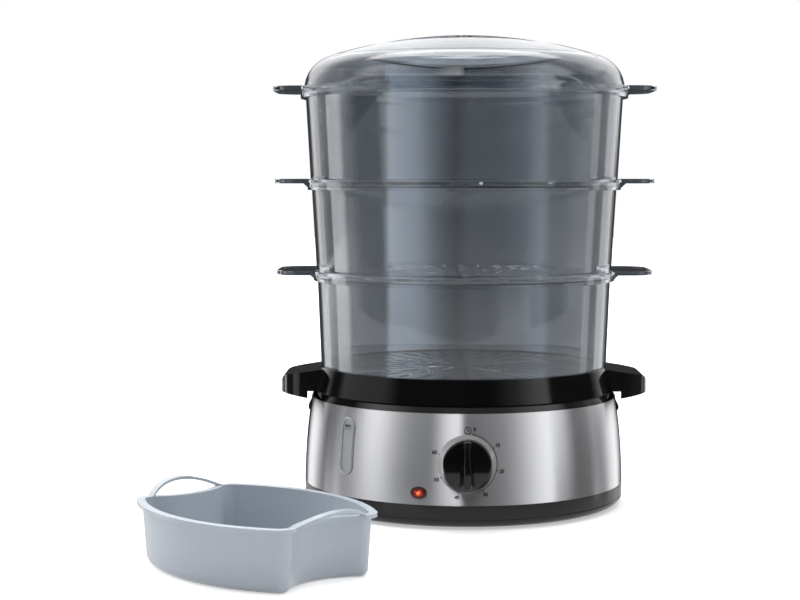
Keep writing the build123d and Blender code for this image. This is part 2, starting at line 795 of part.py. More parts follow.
with BuildPart() as cord_gland:
    with BuildSketch(gland_plane.offset(-gland_inside)):
        Circle(gland_radius)
    extrude(amount=gland_inside)
    with BuildSketch(gland_plane.offset(contact_gap)):
        Circle(gland_radius + gland_flange)
    extrude(amount=gland_flange)
    with BuildSketch(gland_plane):
        Circle(gland_radius)
    extrude(amount=gland_length, taper=gland_taper)
    with BuildSketch(gland_plane.offset(-gland_inside)):
        Circle(gland_bore)
    extrude(amount=gland_inside + gland_length, mode=Mode.SUBTRACT)
save(cord_gland.part, "cord_gland")

steam_ring_foot = tank_floor + seat_gap
with BuildPart() as steam_ring:
    with BuildSketch(Plane.XZ):
        Polygon(
            (steam_ring_radius - steam_ring_wall, steam_ring_foot),
            (steam_ring_radius, steam_ring_foot),
            (steam_ring_radius - steam_ring_taper, steam_ring_foot + steam_ring_height),
            (
                steam_ring_radius - steam_ring_taper - steam_ring_wall,
                steam_ring_foot + steam_ring_height,
            ),
            align=None,
        )
    revolve(axis=Axis.Z)
    with BuildSketch(Plane.XY.offset(steam_ring_foot)):
        with PolarLocations(steam_ring_radius, steam_notches):
            Rectangle(4 * steam_ring_wall, steam_notch_width)
    extrude(amount=steam_notch_height, mode=Mode.SUBTRACT)
save(steam_ring.part, "steam_ring")

# ================================================================ drip tray
collar_low_radius = shoulder_radius + collar_overhang
recess_radius = basket_foot_radius + nest_clearance
collar_high_radius = recess_radius + collar_lip
tray_wall_radius = recess_radius - ledge_width
tray_floor_radius = tray_wall_radius - tray_taper
handle_tip = recess_radius + handle_reach
handle_hem_start = recess_radius + handle_hem_offset
handle_top = collar_top - handle_sink
handle_slope = handle_drop / handle_reach


def handle_form(inset):
    """Both carrying handles as downturned shells: their outer form, or their hollow when inset."""
    tip = handle_tip - inset
    start = handle_hem_start if inset else tray_wall_radius + wall
    low = handle_top - handle_drop - inset
    high = low + handle_slope * (handle_tip - start)
    drop = 2 * handle_skirt if inset else 0
    with BuildPart() as form:
        with BuildSketch(Plane.XZ) as side_view:
            Polygon(
                (start, tray_bottom - drop),
                (start, high),
                (tip, low),
                (tip, low - handle_skirt - drop),
                (handle_hem_start, low - handle_skirt - handle_hem_fall - drop),
                (handle_hem_start, tray_bottom - drop),
                align=None,
            )
            fillet(side_view.vertices().group_by(Axis.X)[-1].sort_by(Axis.Y)[-1], handle_nose - inset)
            mirror(about=Plane.YZ)
        extrude(amount=handle_width / 2 - inset, both=True)
        with BuildSketch(Plane.XY) as plan_view:
            Rectangle(2 * tip, handle_width - 2 * inset)
            fillet(plan_view.vertices(), handle_round - inset)
        extrude(amount=2 * collar_top, mode=Mode.INTERSECT)
    return form.part


with BuildPart() as drip_tray:
    with BuildSketch(Plane.XZ):
        skin_slope = (collar_low_radius - collar_high_radius) / (collar_top - tray_bottom)
        ledge_under = tray_ledge - wall
        skin_inner = collar_high_radius - wall + skin_slope * (collar_top - ledge_under)
        Polygon(
            (collar_low_radius, tray_bottom),
            (collar_high_radius, collar_top),
            (recess_radius, collar_top),
            (recess_radius, tray_ledge),
            (tray_wall_radius, tray_ledge),
            (tray_floor_radius, tray_floor_bottom + wall),
            (chimney_radius + wall, tray_floor_bottom + wall),
            (chimney_radius + wall, tray_floor_bottom + chimney_height),
            (chimney_radius, tray_floor_bottom + chimney_height),
            (chimney_radius, tray_floor_bottom),
            (tray_floor_radius + wall / 2, tray_floor_bottom),
            (tray_wall_radius + wall, ledge_under),
            (skin_inner, ledge_under),
            (collar_low_radius - wall, tray_bottom + wall),
            (tank_rim_radius + wall, tray_bottom + wall),
            (tank_rim_radius + wall, tray_bottom),
            align=None,
        )
    revolve(axis=Axis.Z)
    add(handle_form(0))
    add(handle_form(handle_skin), mode=Mode.SUBTRACT)
    # the recess that takes the lower basket's foot stays clear
    with BuildSketch(Plane.XY.offset(tray_ledge)):
        Circle(recess_radius)
    extrude(amount=collar_lip_height, mode=Mode.SUBTRACT)
save(drip_tray.part, "drip_tray")

# ================================================================ baskets
foot = tray_ledge + seat_gap
outer = basket_foot_radius
for basket_name, height, draft, reach in zip(basket_names, basket_heights, basket_drafts, tab_reaches):
    ledge = foot + height
    rim = ledge + rim_height
    wall_top = outer + height * tan(radians(draft))
    next_foot = wall_top + (lid_step if basket_name == basket_names[-1] else nest_step)
    nest = next_foot + nest_clearance
    gallery = nest + clear_wall
    flange = gallery + flange_width
    tab_span = 2 * (flange + reach)
    with BuildPart() as basket:
        with BuildSketch(Plane.XZ) as basket_section:
            Polygon(
                (outer - clear_wall - foot_lip, foot),
                (outer, foot),
                (wall_top, ledge - clear_wall),
                (gallery, ledge - clear_wall),
                (gallery, rim - flange_thickness),
                (flange, rim - flange_thickness),
                (flange, rim),
                (nest, rim),
                (nest, ledge),
                (wall_top - clear_wall, ledge),
                (outer - clear_wall, foot + clear_wall),
                (outer - clear_wall - foot_lip, foot + clear_wall),
                align=None,
            )
            foot_corners = basket_section.vertices().group_by(Axis.Y)[0]
            fillet(foot_corners.sort_by(Axis.X)[-1], foot_round)
        revolve(axis=Axis.Z)
        # side tabs with a raised bead round their edge
        with BuildSketch(Plane.XY.offset(rim - flange_thickness)) as tab_plan:
            Rectangle(tab_span, tab_width)
            fillet(tab_plan.vertices(), tab_round)
            Circle(gallery - clear_wall / 2, mode=Mode.SUBTRACT)
        extrude(amount=flange_thickness)
        with BuildSketch(Plane.XY.offset(rim - flange_thickness - tab_bead_lift)) as bead_plan:
            Rectangle(tab_span, tab_width)
            fillet(bead_plan.vertices(), tab_round)
            with BuildSketch(mode=Mode.SUBTRACT) as bead_inside:
                Rectangle(tab_span - 2 * tab_bead, tab_width - 2 * tab_bead)
                fillet(bead_inside.vertices(), tab_round - tab_bead)
            Circle(gallery + clear_wall / 2, mode=Mode.SUBTRACT)
        extrude(amount=flange_thickness + 2 * tab_bead_lift)
        # ribs under the root of each tab
        rib_root = sqrt(gallery**2 - rib_offset**2) - clear_wall / 2
        for offset_y in (rib_offset, -rib_offset - rib_thickness):
            with BuildSketch(Plane.XZ.offset(offset_y)):
                Polygon(
                    (rib_root, ledge - clear_wall),
                    (rib_root + rib_reach, rim - flange_thickness),
                    (rib_root, rim - flange_thickness),
                    align=None,
                )
                mirror(about=Plane.YZ)
            extrude(amount=rib_thickness)
    save(basket.part, f"basket_{basket_name}")

    # perforated floor, dropped onto the foot's inner lip
    with BuildPart() as basket_floor:
        with BuildSketch(Plane.XY.offset(foot + clear_wall)):
            Circle(outer - clear_wall - panel_clearance)
            for (inner_share, outer_share), slots in zip(floor_ring_shares, floor_ring_slots):
                slot_inner = inner_share * (outer - clear_wall - foot_lip)
                slot_outer = outer_share * (outer - clear_wall - foot_lip)
                with PolarLocations((slot_inner + slot_outer) / 2, slots):
                    Rectangle(slot_outer - slot_inner, slot_width, mode=Mode.SUBTRACT)
        extrude(amount=floor_thickness)
    save(basket_floor.part, f"floor_{basket_name}")
    foot = ledge + seat_gap
    outer = next_foot

# ================================================================ lid
lid_foot = foot
lid_radius = outer
dome_radius = (lid_radius**2 + dome_rise**2) / (2 * dome_rise)
lid_top = lid_foot + lid_height
scoop_axis = lid_top - scoop_depth + scoop_round


def dome(inset):
    """Solid under the lid's dome; inset gives the space inside its wall."""
    radius = lid_radius - inset
    crown = dome_radius - inset
    center = lid_top - dome_radius
    edge = center + sqrt(crown**2 - radius**2)
    middle = center + sqrt(crown**2 - (radius / 2) ** 2)
    with BuildPart() as form:
        with BuildSketch(Plane.XZ) as section:
            with BuildLine():
                ThreePointArc((0, center + crown), (radius / 2, middle), (radius, edge))
                Polyline((radius, edge), (radius, lid_foot), (0, lid_foot), (0, center + crown))
            make_face()
            fillet(section.vertices().group_by(Axis.X)[-1].sort_by(Axis.Y)[-1], lid_shoulder - inset)
        revolve(axis=Axis.Z)
    return form.part


def scoop(grow):
    """Hollow pressed into the dome in front of the ridge; grow thickens it by the lid's wall."""
    depth = scoop_round + grow
    sweep_radius = scoop_length_radius + grow
    reach = sqrt(sweep_radius**2 - (sweep_radius - depth) ** 2)
    wall_place = ridge_half_width - grow
    with BuildPart() as form:
        with BuildSketch(Plane.XZ.offset(ridge_half_width)):
            with BuildLine():
                ThreePointArc((-reach, scoop_axis), (0, scoop_axis - depth), (reach, scoop_axis))
                Line((reach, scoop_axis), (-reach, scoop_axis))
            make_face()
        revolve(axis=Axis((0, -ridge_half_width, scoop_axis), (1, 0, 0)))
        split(bisect_by=Plane(origin=(0, -wall_place, 0), z_dir=(0, -1, 0)), keep=Keep.TOP)
    return form.part


with BuildPart() as lid_space:
    add(dome(lid_wall))
    add(scoop(lid_wall), mode=Mode.SUBTRACT)
    add(scoop(lid_wall).mirror(Plane.XZ), mode=Mode.SUBTRACT)

with BuildPart() as lid:
    add(dome(0))
    add(scoop(0), mode=Mode.SUBTRACT)
    add(scoop(0).mirror(Plane.XZ), mode=Mode.SUBTRACT)
    add(lid_space.part, mode=Mode.SUBTRACT)
    # steam vent in a shallow dish in the middle of the ridge
    with BuildSketch(Plane.XY.offset(lid_top - vent_depth)):
        Circle(vent_radius)
    extrude(amount=vent_depth, mode=Mode.SUBTRACT)
    with BuildSketch(Plane.XY.offset(lid_top)):
        Circle(vent_hole_radius)
    extrude(amount=-scoop_depth / 2, mode=Mode.SUBTRACT)
save(lid.part, "lid")

# ================================================================ rice bowl
bowl_plane = Plane(origin=(bowl_center[0], bowl_center[1], 0), z_dir=(0, 0, 1)).rotated((0, 0, bowl_turn))


side_radius = (bowl_half_length**2 + bowl_bulge**2) / (2 * bowl_bulge)
side_shift = side_radius - bowl_half_width - bowl_bulge
end_radius = (bowl_half_width**2 + bowl_dent**2) / (2 * bowl_dent)
end_shift = bowl_half_length - bowl_dent + end_radius


def bowl_outline(grow):
    """Boat-shaped outline: bulging long sides, dented ends, rounded corners; grow moves it outward."""
    with BuildSketch() as outline:
        with Locations((0, -side_shift)):
            Circle(side_radius + grow)
        with Locations((0, side_shift)):
            Circle(side_radius + grow, mode=Mode.INTERSECT)
        with Locations((end_shift, 0), (-end_shift, 0)):
            Circle(end_radius - grow, mode=Mode.SUBTRACT)
        fillet(outline.vertices(), bowl_corner + grow)
    return outline.sketch


strap_low = bowl_height - bowl_rim + strap_root
strap_high = bowl_height - strap_root
strap_out = bowl_half_length - bowl_flange / 2
strap_in = strap_out - strap_width
strap_end = bowl_half_width - bowl_flange
cavity_top = bowl_height + 2 * strap_arch
cavity_flare = bowl_draft * (cavity_top - bowl_height) / bowl_height
with BuildPart() as straps:
    with BuildSketch(bowl_plane):
        with BuildLine():
            ThreePointArc((strap_out, -strap_end), (strap_out + strap_bulge, 0), (strap_out, strap_end))
            Line((strap_out, strap_end), (strap_in, strap_end))
            ThreePointArc((strap_in, strap_end), (strap_in + strap_bulge, 0), (strap_in, -strap_end))
            Line((strap_in, -strap_end), (strap_out, -strap_end))
        make_face()
        mirror(about=Plane.YZ)
    extrude(amount=2 * bowl_height)
    with BuildSketch(Plane(origin=bowl_plane.origin, x_dir=bowl_plane.y_dir, z_dir=bowl_plane.x_dir)):
        with BuildLine():
            ThreePointArc((-strap_end, strap_low), (0, strap_low + strap_arch), (strap_end, strap_low))
            Line((strap_end, strap_low), (strap_end, strap_high))
            ThreePointArc((strap_end, strap_high), (0, strap_high + strap_arch), (-strap_end, strap_high))
            Line((-strap_end, strap_high), (-strap_end, strap_low))
        make_face()
    extrude(amount=2 * bowl_half_length, both=True, mode=Mode.INTERSECT)

with BuildPart() as bowl_cavity:
    with BuildSketch(bowl_plane.offset(seat_gap + bowl_wall)):
        add(bowl_outline(-bowl_draft - bowl_wall))
    with BuildSketch(bowl_plane.offset(cavity_top)):
        add(bowl_outline(cavity_flare - bowl_wall))
    loft()
    fillet(bowl_cavity.faces().sort_by(Axis.Z)[0].edges(), bowl_round - bowl_wall)

with BuildPart() as rice_bowl:
    with BuildSketch(bowl_plane.offset(seat_gap)):
        add(bowl_outline(-bowl_draft))
    with BuildSketch(bowl_plane.offset(bowl_height)):
        add(bowl_outline(0))
    loft()
    fillet(rice_bowl.faces().sort_by(Axis.Z)[0].edges(), bowl_round)
    with BuildSketch(bowl_plane.offset(bowl_height - bowl_rim)):
        add(bowl_outline(bowl_flange))
    extrude(amount=bowl_rim)
    add(straps.part)
    add(bowl_cavity.part, mode=Mode.SUBTRACT)
save(rice_bowl.part, "rice_bowl")
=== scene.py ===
import math

import bmesh
import bpy
from mathutils import Matrix, Vector


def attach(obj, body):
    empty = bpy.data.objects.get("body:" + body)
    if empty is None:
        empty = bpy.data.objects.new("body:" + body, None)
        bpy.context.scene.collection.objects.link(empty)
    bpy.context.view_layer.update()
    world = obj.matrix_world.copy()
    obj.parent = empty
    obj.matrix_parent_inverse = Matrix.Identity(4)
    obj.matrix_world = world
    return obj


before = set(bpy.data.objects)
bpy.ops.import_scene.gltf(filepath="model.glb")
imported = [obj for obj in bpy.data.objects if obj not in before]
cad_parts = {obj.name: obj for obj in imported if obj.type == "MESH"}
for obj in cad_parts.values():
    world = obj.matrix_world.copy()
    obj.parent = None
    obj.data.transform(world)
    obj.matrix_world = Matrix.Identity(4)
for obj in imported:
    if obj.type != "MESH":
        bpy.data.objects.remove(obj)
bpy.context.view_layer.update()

# ------------------------------------------------------------------ the base, in metres and degrees
BELLY_RADIUS = 0.1304
BELLY_HEIGHT = 0.0134
BARREL_RADIUS = 0.480
DIAL_HEIGHT = 0.0507
LAMP_AZIMUTH = -16.2
LAMP_HEIGHT = 0.028
GAUGE_AZIMUTH = -45.8
GAUGE_HEIGHT = 0.0585
GAUGE_FACE = 0.0003  # the gauge's dished face lies this far outside the flank


def lean_at(height):
    """Angle by which the base's flank leans inward at a height above the table."""
    return math.asin((height - BELLY_HEIGHT) / BARREL_RADIUS)


def barrel(height):
    """Radius of the base's flank at a height above the table."""
    lift = height - BELLY_HEIGHT
    return BELLY_RADIUS - BARREL_RADIUS + math.sqrt(BARREL_RADIUS**2 - lift**2)


def flank_matrix(azimuth, height):
    """Frame on the flank: x along it to the right, y up it, z outward."""
    turn = math.radians(azimuth)
    lean = lean_at(height)
    radius = barrel(height)
    origin = Vector((radius * math.sin(turn), -radius * math.cos(turn), height))
    x_axis = Vector((math.cos(turn), math.sin(turn), 0))
    z_axis = Vector((math.sin(turn) * math.cos(lean), -math.cos(turn) * math.cos(lean), math.sin(lean)))
    y_axis = z_axis.cross(x_axis)
    return Matrix.Translation(origin) @ Matrix((x_axis, y_axis, z_axis)).transposed().to_4x4()


# ------------------------------------------------------------------ camera
CAMERA_PLACE = (-0.0322, -1.412, 0.2669)
CAMERA_LENS = 77.38
SENSOR_WIDTH = 36.0
LOOK_DOWN = 4.12
LOOK_LEFT = 0.81

camera_data = bpy.data.cameras.new("camera")
camera_data.lens = CAMERA_LENS
camera_data.sensor_width = SENSOR_WIDTH
camera_data.clip_start = 0.05
camera = bpy.data.objects.new("camera", camera_data)
camera.location = CAMERA_PLACE
camera.rotation_euler = (math.radians(90 - LOOK_DOWN), 0, math.radians(LOOK_LEFT))
bpy.context.scene.collection.objects.link(camera)
bpy.context.scene.camera = camera


# ------------------------------------------------------------------ node tools
def rgb(red, green, blue):
    return (red, green, blue, 1.0)


WHITE = rgb(1, 1, 1)
BLACK = rgb(0, 0, 0)


class Nodes:
    """Short forms for the nodes of a material or of the world."""

    def __init__(self, tree):
        self.nodes = tree.nodes
        self.links = tree.links

    def put(self, socket, value):
        """Link another node's output to the socket, or set the socket's own value."""
        if isinstance(value, bpy.types.NodeSocket):
            self.links.new(value, socket)
        else:
            socket.default_value = value

    def node(self, kind, inputs=None, **settings):
        made = self.nodes.new("ShaderNode" + kind)
        for key, value in settings.items():
            setattr(made, key, value)
        for key, value in (inputs or {}).items():
            self.put(made.inputs[key], value)
        return made

    def math(self, operation, first, second, clamp=False):
        made = self.node("Math", {0: first, 1: second}, operation=operation, use_clamp=clamp)
        return made.outputs["Value"]

    def vector(self, operation, *vectors):
        made = self.node("VectorMath", dict(enumerate(vectors)), operation=operation)
        return made.outputs["Value" if operation == "LENGTH" else "Vector"]

    def axes(self, vector):
        return self.node("SeparateXYZ", {"Vector": vector}).outputs

    def azimuth(self, axes):
        """Angle round Z, from the front (-Y) towards the right (X)."""
        return self.math("ARCTAN2", axes["X"], self.math("MULTIPLY", axes["Y"], -1.0))

    def spread(self, value, low, high, start=0.0, end=1.0):
        """The value, carried from start..end to low..high and held at the ends."""
        inputs = {"Value": value, "From Min": start, "From Max": end, "To Min": low, "To Max": high}
        return self.node("MapRange", inputs).outputs["Result"]

    def blend(self, factor, first, second):
        inputs = {"Factor": factor, "A": first, "B": second}
        return self.node("Mix", inputs, data_type="RGBA").outputs["Result"]

    def tones(self, factor, steps, tint):
        """Colour ramp of one tint through (place, level) pairs, with both ends given first."""
        ramp = self.node("ValToRGB", {"Fac": factor})
        elements = ramp.color_ramp.elements
        for index, (place, level) in enumerate(steps):
            element = elements[index] if index < 2 else elements.new(place)
            element.position = place
            element.color = rgb(*(level * share for share in tint))
        return ramp.outputs["Color"]

    def mixed(self, factor, first, second):
        """Two shaders, mixed."""
        return self.node("MixShader", {0: factor, 1: first, 2: second}).outputs["Shader"]


class Material(Nodes):
    """A material built round the Principled shader."""

    def __init__(self, name):
        self.data = bpy.data.materials.new(name)
        self.data.use_nodes = True
        super().__init__(self.data.node_tree)
        self.shader = self.nodes["Principled BSDF"]

    def set(self, **values):
        for key, value in values.items():
            self.put(self.shader.inputs[key.replace("_", " ")], value)
        return self

    def place(self):
        return self.node("TexCoord").outputs["Object"]

    def noise(self, scale, detail, vector=None, roughness=0.5):
        inputs = {"Vector": vector or self.place(), "Scale": scale, "Detail": detail, "Roughness": roughness}
        return self.node("TexNoise", inputs).outputs["Fac"]

    def bump(self, height, strength, distance, normal=None):
        made = self.node("Bump", {"Height": height, "Strength": strength, "Distance": distance})
        if normal is not None:
            self.put(made.inputs["Normal"], normal)
        return made.outputs["Normal"]

    def tilted(self, push):
        """Shading normal, turned towards a push."""
        facing = self.node("NewGeometry").outputs["Normal"]
        return self.vector("NORMALIZE", self.vector("ADD", facing, push))

    def crown(self, middle, curve):
        """Face bowed a little up and down about a height, as a moulded face is."""
        above = self.math("SUBTRACT", self.axes(self.place())["Z"], middle)
        bow = self.node("CombineXYZ", {"Z": self.math("MULTIPLY", above, curve)}).outputs["Vector"]
        return self.set(Normal=self.tilted(bow))

    def lamps_pass(self, tint):
        """Lamps shine through the surface, tinted, as through real clear plastic."""
        shadow = self.node("LightPath").outputs["Is Shadow Ray"]
        through = self.node("BsdfTransparent", {"Color": tint}).outputs["BSDF"]
        whole = self.mixed(shadow, self.shader.outputs["BSDF"], through)
        self.put(self.nodes["Material Output"].inputs["Surface"], whole)
        return self


def plastic(name, low, high, roughness, grain, skin, **extra):
    """Moulded plastic: two near shades, uneven gloss and a fine skin."""
    made = Material(name)
    patches = made.noise(scale=28.0, detail=3.0)
    fine = made.noise(scale=grain, detail=5.0)
    return made.set(
        Base_Color=made.blend(patches, rgb(*low), rgb(*high)),
        Roughness=made.spread(fine, roughness * 0.8, roughness * 1.25, 0.3, 0.7),
        Normal=made.bump(fine, skin, 0.0002),
        **extra,
    )


def clear_plastic(name, tint, shadow_tint, roughness):
    """Clear moulding: faint flow lines and uneven gloss."""
    made = Material(name)
    flow = made.noise(scale=9.0, detail=2.0)
    fine = made.noise(scale=140.0, detail=3.0)
    made.set(
        Base_Color=rgb(*tint),
        Transmission_Weight=1.0,
        IOR=1.5,
        Roughness=made.spread(fine, roughness * 0.6, roughness * 1.4, 0.3, 0.7),
        Normal=made.bump(flow, 0.05, 0.002),
    )
    return made.lamps_pass(rgb(*shadow_tint))


def brushed(name, shade, roughness, anisotropic, lift=0.0):
    """Metal brushed in lines round the Z axis. The lift turns the furrows' sides upward."""
    made = Material(name)
    axes = made.axes(made.place())
    along = made.math("MULTIPLY", made.azimuth(axes), 0.2)
    across = made.math("MULTIPLY", axes["Z"], 900.0)
    lines_place = made.node("CombineXYZ", {"X": along, "Y": across}).outputs["Vector"]
    lines = made.noise(scale=3.0, detail=6.0, vector=lines_place, roughness=0.62)
    cloud = made.noise(scale=18.0, detail=2.0)
    dark = rgb(*(value * 0.985 for value in shade))
    light = rgb(*(value * 1.015 for value in shade))
    tangent = made.node("Tangent", direction_type="RADIAL", axis="Z").outputs["Tangent"]
    return made.set(
        Base_Color=made.blend(made.spread(lines, 0.0, 1.0, 0.3, 0.7), dark, light),
        Metallic=1.0,
        Roughness=made.spread(made.math("ADD", lines, cloud), roughness * 0.96, roughness * 1.04, 0.7, 1.3),
        Anisotropic=anisotropic,
        Anisotropic_Rotation=0.25,
        Normal=made.bump(lines, 0.008, 0.0001, made.tilted((0, 0, lift)) if lift else None),
        Tangent=tangent,
    )


def glowing_lens(name):
    """Red faceted lens with painted light: a glow painted in an oval round its middle, standing for the lamp
    behind it.
    """
    glow_reach = (0.0064, 0.0046)
    facets_per_metre = 700.0
    made = Material(name)
    to_lens = flank_matrix(LAMP_AZIMUTH, LAMP_HEIGHT).inverted()
    turned = {"Vector": made.place(), "Location": to_lens.translation, "Rotation": to_lens.to_euler()}
    on_lens = made.node("Mapping", turned).outputs["Vector"]
    share = made.vector("MULTIPLY", on_lens, (1 / glow_reach[0], 1 / glow_reach[1], 0))
    away = made.vector("LENGTH", share)
    facet = made.node("TexVoronoi", {"Vector": made.place(), "Scale": facets_per_metre}).outputs["Distance"]
    # painted glow: the base colour turns lighter and the emission rises towards the middle, for the lamp's
    # light through the lens
    glow = made.spread(made.math("ADD", away, made.math("MULTIPLY", facet, 0.45)), 1.0, 0.0, 0.3, 0.95)
    return made.set(
        Base_Color=made.blend(glow, rgb(0.05, 0.001, 0.002), rgb(0.6, 0.02, 0.01)),
        Roughness=0.08,
        Emission_Color=made.blend(glow, rgb(0.25, 0.0, 0.0), rgb(1.0, 0.18, 0.05)),
        Emission_Strength=made.math("MULTIPLY", made.math("POWER", glow, 2.0), 1.6),
        Normal=made.bump(facet, 0.35, 0.0006),
    )


def glowing_glass(name):
    """Small neon lamp, unevenly lit."""
    made = Material(name)
    patches = made.noise(scale=700.0, detail=2.0)
    return made.set(
        Base_Color=rgb(0.95, 0.42, 0.16),
        Roughness=0.1,
        Emission_Color=rgb(1.0, 0.2, 0.04),
        Emission_Strength=made.spread(patches, 1.0, 3.0, 0.35, 0.65),
    )


# ------------------------------------------------------------------ materials
# two shades, roughness, grain per metre and strength of the skin
PLASTICS = {
    "black_gloss_plastic": ((0.0018, 0.0018, 0.002), (0.0032, 0.0032, 0.0036), 0.09, 260.0, 0.02),
    "black_satin_plastic": ((0.012, 0.012, 0.013), (0.02, 0.02, 0.022), 0.38, 900.0, 0.12),
    "knob_gloss_plastic": ((0.0022, 0.0022, 0.0024), (0.004, 0.004, 0.0044), 0.07, 300.0, 0.02),
    "clear_gauge": ((0.50, 0.515, 0.53), (0.56, 0.575, 0.59), 0.12, 500.0, 0.02),
    "black_rubber": ((0.016, 0.016, 0.016), (0.03, 0.03, 0.03), 0.7, 1400.0, 0.25),
    "red_silicone": ((0.42, 0.08, 0.05), (0.5, 0.11, 0.07), 0.5, 900.0, 0.15),
    "dark_phenolic": ((0.05, 0.034, 0.025), (0.085, 0.06, 0.045), 0.45, 700.0, 0.15),
    "ivory_plastic": ((0.66, 0.63, 0.56), (0.74, 0.71, 0.64), 0.35, 500.0, 0.06),
    "pale_blue_white_plastic": ((0.43, 0.475, 0.525), (0.465, 0.51, 0.56), 0.2, 420.0, 0.02),
    "dark_ink": ((0.008, 0.008, 0.009), (0.014, 0.014, 0.015), 0.5, 2000.0, 0.05),
}
# shade, roughness, anisotropy and lift
METALS = {
    "brushed_steel_vertical_glow": ((0.66, 0.665, 0.68), 0.26, 1.0, 0.32),
    "satin_steel": ((0.64, 0.64, 0.65), 0.22, 0.4, 0.32),
    "zinc_plated_steel": ((0.62, 0.62, 0.6), 0.26, 0.2),
    "pressed_sheet_steel": ((0.52, 0.52, 0.53), 0.36, 0.5),
    "element_sheath": ((0.24, 0.22, 0.2), 0.42, 0.3),
    "cast_aluminium": ((0.62, 0.63, 0.65), 0.42, 0.2),
    "bell_brass": ((0.78, 0.6, 0.3), 0.24, 0.4),
}
FINISHES = {
    "black_gloss_plastic": ("base_housing", "drip_tray"),
    "black_satin_plastic": ("water_tank", "base_plate", "steam_ring"),
    "knob_gloss_plastic": ("timer_knob",),
    "clear_gauge": ("gauge_window",),
    "black_rubber": ("rubber_feet", "gauge_seal", "cord_gland"),
    "red_silicone": ("heater_seal",),
    "dark_phenolic": ("thermostat",),
    "ivory_plastic": ("lamp_holder", "terminal_block"),
    "pale_blue_white_plastic": ("rice_bowl",),
    "brushed_steel_vertical_glow": ("steel_fascia",),
    "satin_steel": ("dial_bezel",),
    "zinc_plated_steel": ("base_screws", "timer_shaft", "timer_screws", "heater_screws"),
    "pressed_sheet_steel": ("timer_body", "heater_clamp", "thermal_fuse"),
    "element_sheath": ("heater_element",),
    "cast_aluminium": ("heater_plate",),
    "bell_brass": ("timer_bell",),
    "red_lamp_lens": ("indicator_lens",),
    "neon_lamp_glass": ("neon_lamp",),
    "clear_polycarbonate": (
        "basket_lower",
        "basket_middle",
        "basket_upper",
        "floor_lower",
        "floor_middle",
        "floor_upper",
        "lid",
    ),
}
KNOB_CURVE = 14.0  # lift of the knob's face for each metre above its middle

materials = {name: plastic(name, *values) for name, values in PLASTICS.items()}
materials.update({name: brushed(name, *values) for name, values in METALS.items()})
materials["red_lamp_lens"] = glowing_lens("red_lamp_lens")
materials["neon_lamp_glass"] = glowing_glass("neon_lamp_glass")
materials["clear_polycarbonate"] = clear_plastic(
    "clear_polycarbonate", (0.90, 0.925, 0.95), shadow_tint=(0.93, 0.95, 0.96), roughness=0.02
)
materials["knob_gloss_plastic"].crown(DIAL_HEIGHT, KNOB_CURVE)
materials["clear_gauge"].set(Transmission_Weight=0.35, IOR=1.49)
materials["dark_ink"].set(Specular_IOR_Level=0.1)

for finish, names in FINISHES.items():
    for name in names:
        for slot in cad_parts[name].material_slots:
            slot.material = materials[finish].data


# ------------------------------------------------------------------ printing, in metres and degrees
INK_LIFT = 0.00005  # middle of the ink above the surface
INK_THICKNESS = 0.00004
LETTER_WEIGHT = 0.00014  # outward offset of a letter's outline

MINUTES = ((0, 11.3), (10, 58.3), (20, 102.5), (30, 149.8), (40, 197.7), (50, 242.9), (60, 288.7))
SCALE_CENTER = (0.0007, -0.0002)
SCALE_RADIUS = 0.0224
SCALE_LINE = 0.0004
SCALE_START = 12
TICK_REACH = (0.0222, 0.0236)
TICK_WIDTH = 0.0007
NUMERAL_REACH = 0.0266
NUMERAL_SIZE = 0.0038

CLOCK_CENTER = (0.0007, 0.0250)
CLOCK_RADIUS = 0.0026
CLOCK_LINE = 0.0005
LONG_HAND = 0.0017
SHORT_HAND = 0.0012

LEVEL_WORD_SIZE = 0.0030
LEVEL_WORD_HEIGHT = 0.0150
LEVEL_LINE_HEIGHT = 0.0128
LEVEL_LINE_REACH = 0.0034
LEVEL_LINE_WIDTH = 0.0004


def printed(name, mesh):
    """Object of ink on the base."""
    obj = bpy.data.objects.new(name, mesh)
    bpy.context.scene.collection.objects.link(obj)
    mesh.materials.clear()
    mesh.materials.append(materials["dark_ink"].data)
    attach(obj, "base")


def wrap_on_flank(mesh, height):
    """Lay a flat drawing (x right, y up, z thickness) round the steel, centred on the dial side."""
    lean = lean_at(height)
    for vertex in mesh.vertices:
        level = height + vertex.co.y * math.cos(lean)
        radius = barrel(level)
        turn = vertex.co.x / radius
        radius += vertex.co.z
        vertex.co = (radius * math.sin(turn), -radius * math.cos(turn), level)


def mesh_of(name, bm):
    mesh = bpy.data.meshes.new(name)
    bm.to_mesh(mesh)
    bm.free()
    return mesh


def text_mesh(word, size, spot):
    curve = bpy.data.curves.new("word", "FONT")
    curve.body = word
    curve.size = size
    curve.align_x = "CENTER"
    curve.align_y = "CENTER"
    curve.extrude = INK_THICKNESS / 2
    curve.offset = LETTER_WEIGHT
    holder = bpy.data.objects.new("word", curve)
    bpy.context.scene.collection.objects.link(holder)
    bpy.context.view_layer.update()
    mesh = bpy.data.meshes.new_from_object(holder)
    mesh.transform(Matrix.Translation((spot[0], spot[1], INK_LIFT)))
    bpy.data.objects.remove(holder)
    bpy.data.curves.remove(curve)
    return mesh


def band_sides(bm, first, second):
    """Four faces between two rings of four vertices."""
    for side in range(4):
        other = (side + 1) % 4
        bm.faces.new((first[side], first[other], second[other], second[side]))


